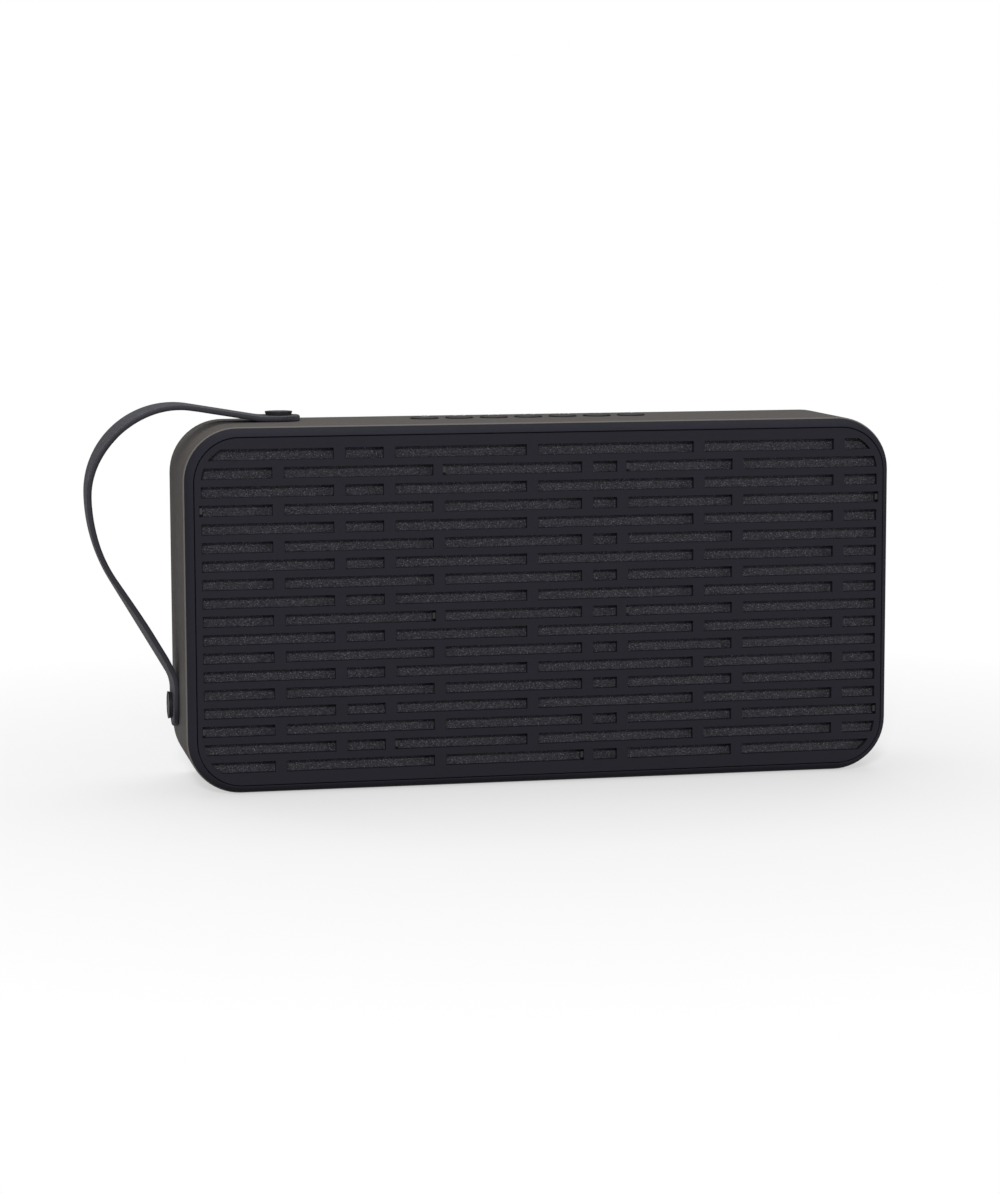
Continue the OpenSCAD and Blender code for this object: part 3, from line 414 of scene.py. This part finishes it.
def build_cloth():
    """A sheet with the relief of a felted knit, cut to the rounded outline of its CAD node."""
    low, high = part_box("grille_cloth")
    columns = round((high.x - low.x) / CLOTH_STEP) + 1
    rows = round((high.z - low.z) / CLOTH_STEP) + 1
    x, z = np.meshgrid(np.linspace(low.x, high.x, columns), np.linspace(low.z, high.z, rows))
    random = np.random.default_rng(CLOTH_SEED)
    fine = blurred(random.normal(size=x.shape), 1)
    broad = blurred(random.normal(size=x.shape), 6)
    front = low.y + CLOTH_GAP
    y = front + CLOTH_RELIEF * np.clip(fine + 0.1 * broad, -3, 3)
    middle = (low + high) / 2
    over_x = np.maximum(np.abs(x - middle.x) - (high.x - low.x) / 2 + CLOTH_CORNER, 0)
    over_z = np.maximum(np.abs(z - middle.z) - (high.z - low.z) / 2 + CLOTH_CORNER, 0)
    reach = np.hypot(over_x, over_z)
    pull = np.where(reach > CLOTH_CORNER, CLOTH_CORNER / np.maximum(reach, 1e-9), 1)
    x = np.where(over_x > 0, x - np.sign(x - middle.x) * over_x * (1 - pull), x)
    z = np.where(over_z > 0, z - np.sign(z - middle.z) * over_z * (1 - pull), z)
    points = np.stack([x, y, z], -1).reshape(-1, 3)
    cloth = mesh_object("speaker_cloth", points, grid_faces(rows, columns), FINISHES["speaker_cloth"])
    smooth(cloth, 180)
    thickness = cloth.modifiers.new("thickness", "SOLIDIFY")
    thickness.thickness = CLOTH_T
    thickness.offset = -1
    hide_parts("grille_cloth")
    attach(cloth, "casing")


# ---------- Strap ----------

STRAP_T = 1.9 * MM
STUD_GAP = 0.3 * MM
LIFT_R = 16.5 * MM
LOOP_R = 27.5 * MM
SWEEP_R = 55 * MM
SETTLE_R = 12 * MM
RISE = math.radians(9.8)
RETURN = math.radians(30.2)
STRAP_STEP = 0.7 * MM
END_STEPS = 15
ACROSS_POINTS = 25
EDGE_ROUND = 0.5 * MM
CROWN = 0.12 * MM
HIGH_TWIST = math.radians(4.5)
LOW_TWIST = math.radians(5.5)
# Shares of the strap's length at which each twist starts, is full, starts to fade and has gone
HIGH_SPAN = (0.2, 0.36, 0.38, 0.52)
LOW_SPAN = (0.6, 0.8, 0.84, 0.94)


def ease(x):
    """Rises smoothly from 0 to 1 as x goes from 0 to 1."""
    x = min(max(x, 0), 1)
    return x * x * (3 - 2 * x)


def hump(x, start, full, fading, gone):
    """Rises from 0 to 1 between start and full, and falls back to 0 between fading and gone."""
    return ease((x - start) / (full - start)) * ease((gone - x) / (gone - fading))


def twist_at(share):
    """How far the strap leans out of true at a share of its length: once high in the loop and once low."""
    return HIGH_TWIST * hump(share, *HIGH_SPAN) + LOW_TWIST * hump(share, *LOW_SPAN)


def strap_path(top, side, head_r):
    """The strap's middle line in XZ: its start beside the top stud, then (radius, turn) or (None, length)."""
    start = np.array([top[0] - head_r, top[1]])
    goal = np.array([side[0], side[1] + head_r])
    turns = [(LIFT_R, -RISE), (None, 0), (LOOP_R, RISE + math.pi / 2), (SWEEP_R, RETURN), (None, 0),
             (SETTLE_R, -RETURN)]
    heading = math.pi
    arcs, straights = np.zeros(2), []
    for radius, turn in turns:
        ahead = np.array([math.cos(heading), math.sin(heading)])
        if radius is None:
            straights.append(ahead)
            continue
        side_way = np.array([-ahead[1], ahead[0]]) * math.copysign(1, turn)
        angle = abs(turn)
        arcs = arcs + radius * (math.sin(angle) * ahead + (1 - math.cos(angle)) * side_way)
        heading += turn
    lengths = np.linalg.solve(np.array(straights).T, goal - start - arcs)
    runs = iter(lengths)
    return start, [(r, t) if r else (None, next(runs)) for r, t in turns]


def strap_stations(top, side, head_r, end_r):
    """Evenly spaced stations (position, heading) along the whole strap, with the round ends included."""
    start, pieces = strap_path(top, side, head_r)
    stations = []

    def walk(point, heading, radius, amount):
        length = amount if radius is None else abs(amount) * radius
        count = max(2, round(length / STRAP_STEP))
        for i in range(count):
            distance = length / count
            turn = 0 if radius is None else amount / count
            middle = heading + turn / 2
            point = point + distance * np.array([math.cos(middle), math.sin(middle)])
            heading += turn
            stations.append((point, heading))
        return point, heading

    ahead = np.array([math.cos(math.pi), math.sin(math.pi)])
    origin = start - ahead * (head_r + end_r)
    end_angles = [math.pi / 2 * i / END_STEPS for i in range(1, END_STEPS)]
    for angle in end_angles:
        stations.append((origin + ahead * end_r * (1 - math.cos(angle)), math.pi))
    point, heading = walk(origin + ahead * end_r, math.pi, None, head_r)
    for radius, amount in pieces:
        point, heading = walk(point, heading, radius, amount)
    point, heading = walk(point, heading, None, head_r)
    ahead = np.array([math.cos(heading), math.sin(heading)])
    for angle in end_angles:
        stations.append((point + ahead * end_r * math.sin(angle), heading))
    return stations


def build_strap():
    """One band from stud to stud: crowned faces, rounded edges, and a round end under each stud."""
    top_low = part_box("strap_top_end")[0]
    side_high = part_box("strap_side_end")[1]
    loop_low, loop_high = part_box("strap_loop")
    stud_low, stud_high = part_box("top_stud")
    side_stud_low, side_stud_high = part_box("side_stud")
    width = loop_high.y - loop_low.y
    middle_y = (loop_high.y + loop_low.y) / 2
    stud_x = (stud_low.x + stud_high.x) / 2
    stud_z = (side_stud_low.z + side_stud_high.z) / 2
    top = (stud_x, top_low.z + STRAP_T / 2)
    side = (side_high.x - STRAP_T / 2, stud_z)
    head_r = (stud_high.x - stud_low.x) / 2 + STUD_GAP
    end_r = width / 2
    stations = strap_stations(top, side, head_r, end_r)
    across = np.sin(np.linspace(-math.pi / 2, math.pi / 2, ACROSS_POINTS))
    rings = []
    for index, (point, heading) in enumerate(stations):
        twist = twist_at(index / (len(stations) - 1))
        near_top = point[1] > (top[1] + stud_z) / 2
        past = max(point[0] - stud_x if near_top else stud_z - point[1], 0)
        half = math.sqrt(max(end_r**2 - past**2, (0.2 * MM) ** 2))
        outward = np.array([math.sin(heading), -math.cos(heading)])
        ring = []
        for face in (1, -1):
            for u in across * face:
                y = half * u
                to_edge = end_r - math.hypot(past, y) if past > 0 else half - abs(y)
                inside = min(max(to_edge, 0) / EDGE_ROUND, 1)
                dome = EDGE_ROUND * math.sqrt(1 - (1 - inside) ** 2)
                swell = CROWN * (1 - (y / end_r) ** 2)
                rise = STRAP_T / 2 - CROWN - EDGE_ROUND + dome + swell * inside
                spot = point + outward * (rise * face * math.cos(twist) + (y - end_r) * math.sin(twist))
                spot_y = middle_y + y * math.cos(twist) - rise * face * math.sin(twist)
                ring.append((spot[0], spot_y, spot[1]))
        rings.append(ring)
    vertices = [v for ring in rings for v in ring]
    faces = ring_faces(len(rings), len(rings[0]))
    strap = mesh_object("carry_strap", vertices, faces, FINISHES["strap_leather"])
    smooth(strap, 50)
    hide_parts("strap_top_end", "strap_loop", "strap_side_end")
    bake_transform(strap)


# ---------- Rubber pads ----------

CORNER_STEPS = 8
STRIP_CORNER = 5 * MM
COVER_CORNER = 1.5 * MM
PAD_EDGE = 0.35 * MM
GROOVES = 3
GROOVE_FIRST = 1.1 * MM
GROOVE_PITCH = 1.4 * MM
GROOVE_W = 0.7 * MM
GROOVE_DEPTH = 0.3 * MM
COVER_BEVEL = 0.3 * MM
COVER_EDGE = 0.45 * MM
COVER_GROOVE = 1.2 * MM
COVER_GROOVE_W = 0.75 * MM
COVER_GROOVE_DEPTH = 0.25 * MM


def rounded_ring(width, height, radius, inset):
    """Points round a rounded rectangle that is drawn in by an inset."""
    r = max(radius - inset, 0.05 * MM)
    points = []
    for corner, (su, sv) in enumerate(((1, 1), (-1, 1), (-1, -1), (1, -1))):
        for i in range(CORNER_STEPS + 1):
            angle = math.pi / 2 * (corner + i / CORNER_STEPS)
            u = su * (width / 2 - inset - r) + r * math.cos(angle)
            v = sv * (height / 2 - inset - r) + r * math.sin(angle)
            points.append((u, v))
    return points


def ringed_pad(name, size, radius, levels, place, material):
    """A pad of rings, one for each (inset, height) level; place carries (u, v, height) to a point."""
    rings = [[place(u, v, height) for u, v in rounded_ring(*size, radius, inset)] for inset, height in levels]
    vertices = [v for ring in rings for v in ring]
    pad = mesh_object(name, vertices, ring_faces(len(rings), len(rings[0])), material)
    shape = bmesh.new()
    shape.from_mesh(pad.data)
    bmesh.ops.recalc_face_normals(shape, faces=shape.faces)
    shape.to_mesh(pad.data)
    shape.free()
    smooth(pad, 35)
    return pad


def groove(start, width, surface, floor):
    """Levels of a groove with sloping flanks, which runs from one height down to another."""
    flank = width / 5
    stop = start + width
    return [(start, surface), (start + flank, floor), (stop - flank, floor), (stop, surface)]


def build_foot_strip():
    """The strip under the casing, with a rounded lower edge and three grooves that follow its outline."""
    low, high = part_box("foot_strip")
    middle = (low + high) / 2
    levels = [(0, high.z - low.z), (0, PAD_EDGE), (PAD_EDGE / 3, PAD_EDGE / 3), (PAD_EDGE, 0)]
    for i in range(GROOVES):
        levels += groove(GROOVE_FIRST + GROOVE_PITCH * i, GROOVE_W, 0, GROOVE_DEPTH)
    strip = ringed_pad(
        "grip_strip", (high.x - low.x, high.y - low.y), STRIP_CORNER, levels,
        lambda u, v, height: (middle.x + u, middle.y + v, low.z + height), FINISHES["seal_rubber"],
    )
    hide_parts("foot_strip")
    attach(strip, "casing")


def build_port_cover():
    """The cover over the ports: soft edges, and a shallow groove round its face."""
    low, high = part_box("port_cover")
    middle = (low + high) / 2
    face = high.y - low.y
    levels = [(COVER_BEVEL, 0), (0, COVER_BEVEL), (0, face - COVER_EDGE)]
    levels += [(0.12 * MM, face - COVER_EDGE / 3), (0.4 * MM, face)]
    levels += groove(COVER_GROOVE, COVER_GROOVE_W, face, face - COVER_GROOVE_DEPTH)
    cover = ringed_pad(
        "port_flap_cover", (high.x - low.x, high.z - low.z), 1.5 * MM, levels,
        lambda u, v, height: (middle.x + u, low.y + height, middle.z + v), FINISHES["cover_rubber"],
    )
    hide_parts("port_cover")
    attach(cover, "port_flap")


# ---------- Key marks ----------

MARK_TOP = 0.03 * MM
MARK_ROOT = 0.1 * MM
LINE = 0.6 * MM
ARC_STEPS = 16


def arc_band(radius, start, stop, width=LINE):
    """Outline of a band that follows an arc, with its angles in degrees."""
    angles = [math.radians(start + (stop - start) * i / ARC_STEPS) for i in range(ARC_STEPS + 1)]
    outside = radius + width / 2
    inside = radius - width / 2
    outer = [(outside * math.cos(a), outside * math.sin(a)) for a in angles]
    inner = [(inside * math.cos(a), inside * math.sin(a)) for a in reversed(angles)]
    return outer + inner


def bar(x, y, w, h):
    return [(x - w / 2, y - h / 2), (x + w / 2, y - h / 2), (x + w / 2, y + h / 2), (x - w / 2, y + h / 2)]


def arrow(x, reach, half):
    """A triangle that points along X by reach."""
    return [(x, -half), (x + reach, 0), (x, half)] if reach > 0 else [(x, half), (x + reach, 0), (x, -half)]


MARKS = {
    "power_button": [arc_band(1.35 * MM, 125, 415), bar(0, 1.1 * MM, LINE, 1.5 * MM)],
    "wireless_button": [
        arc_band(0.35 * MM, 0, 360, 0.6 * MM), arc_band(1.1 * MM, -42, 42), arc_band(1.8 * MM, -42, 42),
        arc_band(1.1 * MM, 138, 222), arc_band(1.8 * MM, 138, 222),
    ],
    "previous_button": [arrow(1.5 * MM, -1.5 * MM, 1.0 * MM), arrow(0, -1.5 * MM, 1.0 * MM),
                        bar(-1.75 * MM, 0, LINE, 2 * MM)],
    "play_button": [arrow(-1.7 * MM, 1.7 * MM, 1.1 * MM), bar(0.7 * MM, 0, LINE, 2.2 * MM),
                    bar(1.5 * MM, 0, LINE, 2.2 * MM)],
    "next_button": [arrow(-1.5 * MM, 1.5 * MM, 1.0 * MM), arrow(0, 1.5 * MM, 1.0 * MM),
                    bar(1.75 * MM, 0, LINE, 2 * MM)],
    "volume_down_button": [bar(0, 0, 2.6 * MM, LINE)],
    "volume_up_button": [bar(0, 0, 2.6 * MM, LINE), bar(0, 0.76 * MM, LINE, 1.1 * MM),
                         bar(0, -0.76 * MM, LINE, 1.1 * MM)],
}


def build_key_marks():
    """Thin printed marks, one piece on each key."""
    ink = ink_material()
    for node, outlines in MARKS.items():
        low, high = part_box(node)
        centre = (low + high) / 2
        top = high.z + MARK_TOP
        bottom = high.z - MARK_ROOT
        vertices, faces = [], []
        for outline in outlines:
            first, count = len(vertices), len(outline)
            vertices += [(centre.x + x, centre.y + y, z) for z in (bottom, top) for x, y in outline]
            faces.append(tuple(first + count + i for i in range(count)))
            faces.append(tuple(first + i for i in reversed(range(count))))
            for i in range(count):
                k = (i + 1) % count
                faces.append((first + i, first + k, first + count + k, first + count + i))
        mark = mesh_object(node.replace("_button", "_mark"), vertices, faces, ink)
        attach(mark, node.replace("_button", "_key"))


# ---------- Studio ----------


FLOOR_RADIUS = 6.0
FLOOR_BOUNCE = 0.5
FADE_START = 0.1
FADE_END = 0.32
FADE_NEAR = 0.55


def build_floor():
    """A wide pale floor that the camera sees fade to white, and that throws back only part of its light."""
    s = Shader("studio_floor")
    seen = s.node("ShaderNodeLightPath").outputs["Is Camera Ray"]
    paper = s.mix(s.noise(60 * MM, 2), (0.88, 0.88, 0.88), (0.9, 0.9, 0.9))
    bounce = (FLOOR_BOUNCE,) * 3
    s.finish(s.mix(seen, bounce, paper), 0.9, Specular_IOR_Level=0.0)
    far = s.node("ShaderNodeVectorMath", {0: s.place}, operation="LENGTH").outputs["Value"]
    fade = s.math("MULTIPLY", s.between(far, FADE_START, FADE_END, FADE_NEAR, 1), seen)
    white = s.node("ShaderNodeEmission", {"Color": (1, 1, 1), "Strength": 1.0}).outputs["Emission"]
    mixed = s.node("ShaderNodeMixShader", {0: fade, 1: s.bsdf.outputs["BSDF"], 2: white})
    s.put(s.tree.nodes["Material Output"].inputs["Surface"], mixed.outputs["Shader"])
    bpy.ops.mesh.primitive_circle_add(vertices=96, radius=FLOOR_RADIUS, fill_type="NGON")
    floor = bpy.context.object
    floor.name = "studio_floor"
    floor.data.materials.append(s.material)


def build_world(strength=0.22, seen_strength=1.0):
    """Even light from all round, and plain white where the camera looks past the floor."""
    world = bpy.data.worlds.new("studio")
    bpy.context.scene.world = world
    world.use_nodes = True
    tree = world.node_tree
    background = tree.nodes["Background"]
    background.inputs["Color"].default_value = (1, 1, 1, 1)
    path = tree.nodes.new("ShaderNodeLightPath")
    ramp = tree.nodes.new("ShaderNodeMapRange")
    ramp.inputs["To Min"].default_value = strength
    ramp.inputs["To Max"].default_value = seen_strength
    tree.links.new(path.outputs["Is Camera Ray"], ramp.inputs["Value"])
    tree.links.new(ramp.outputs["Result"], background.inputs["Strength"])


def area_light(name, place, target, size, power, color=(1, 1, 1)):
    light = bpy.data.lights.new(name, "AREA")
    light.shape = "RECTANGLE"
    light.size, light.size_y = size
    light.energy = power
    light.color = color
    obj = bpy.data.objects.new(name, light)
    obj.location = place
    aim = Vector(target) - Vector(place)
    obj.rotation_mode = "QUATERNION"
    obj.rotation_quaternion = aim.to_track_quat("-Z", "Y")
    bpy.context.scene.collection.objects.link(obj)


def build_lights():
    middle = (0, 0, 0.06)
    area_light("overhead", (0, 0.5, 1.5), middle, (1.6, 1.2), 11)
    area_light("key", (-0.5, -2.0, 1.0), middle, (0.3, 0.3), 31)
    area_light("right_side", (1.5, -0.9, 0.06), middle, (0.7, 0.5), 11)
    area_light("left_side", (-1.5, -0.3, 0.4), middle, (0.9, 0.9), 3.2, (1, 0.98, 0.96))


CAMERA_PLACE = (-0.211, -0.97835, 0.1799)
CAMERA_YAW = math.radians(-11.618)
CAMERA_PITCH = math.radians(-6.984)
CAMERA_ROLL = math.radians(-0.175)
CAMERA_LENS = 93.79
SENSOR_WIDTH = 36


def build_camera():
    data = bpy.data.cameras.new("camera")
    data.sensor_width = SENSOR_WIDTH
    data.lens = CAMERA_LENS
    camera = bpy.data.objects.new("camera", data)
    camera.location = CAMERA_PLACE
    camera.rotation_mode = "QUATERNION"
    level = Euler((math.pi / 2 + CAMERA_PITCH, 0, CAMERA_YAW)).to_quaternion()
    camera.rotation_quaternion = level @ Quaternion((0, 0, 1), CAMERA_ROLL)
    bpy.context.scene.collection.objects.link(camera)
    bpy.context.scene.camera = camera


paint_cad_nodes()
build_cloth()
build_strap()
build_foot_strip()
build_port_cover()
build_key_marks()
build_floor()
build_world()
build_lights()
build_camera()
bpy.context.scene.view_settings.view_transform = "Standard"
bpy.context.scene.view_settings.look = "None"
